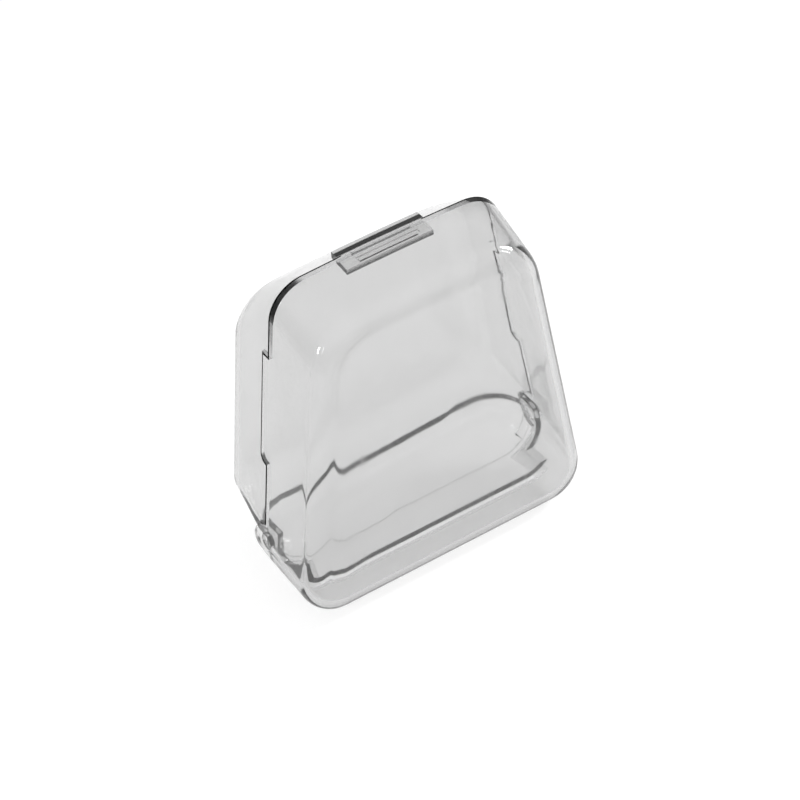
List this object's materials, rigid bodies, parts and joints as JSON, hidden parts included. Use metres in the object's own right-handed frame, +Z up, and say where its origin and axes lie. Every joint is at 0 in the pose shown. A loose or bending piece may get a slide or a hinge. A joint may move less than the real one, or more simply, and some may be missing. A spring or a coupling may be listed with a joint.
{
  "type": "guitar pick holder",
  "caption": "Small clear plastic box with a trapezoid outline and rounded edges; the back shell swings open on pins near the bottom and latches at the top.",
  "frame": {"origin": "middle of the bounding box, on the flat bottom the box stands on", "axes": "+Z up the height of the closed box, X across the width, -Y towards the front shell's face; the hinge line is parallel to X in the seam plane"},
  "size_m": [0.043, 0.0216, 0.0474],
  "materials": {
    "front_plastic": "polished clear moulding",
    "back_plastic": "polished clear moulding"
  },
  "bodies": {
    "front": {"front_shell": "front_plastic"},
    "back": {"back_shell": "back_plastic"}
  },
  "joints": [
    {"name": "lid_hinge", "type": "hinge", "parent": "front", "child": "back", "pos_m": [0, 0, 0.0075], "axis": [-1, 0, 0], "range_deg": [0, 90]}
  ]
}
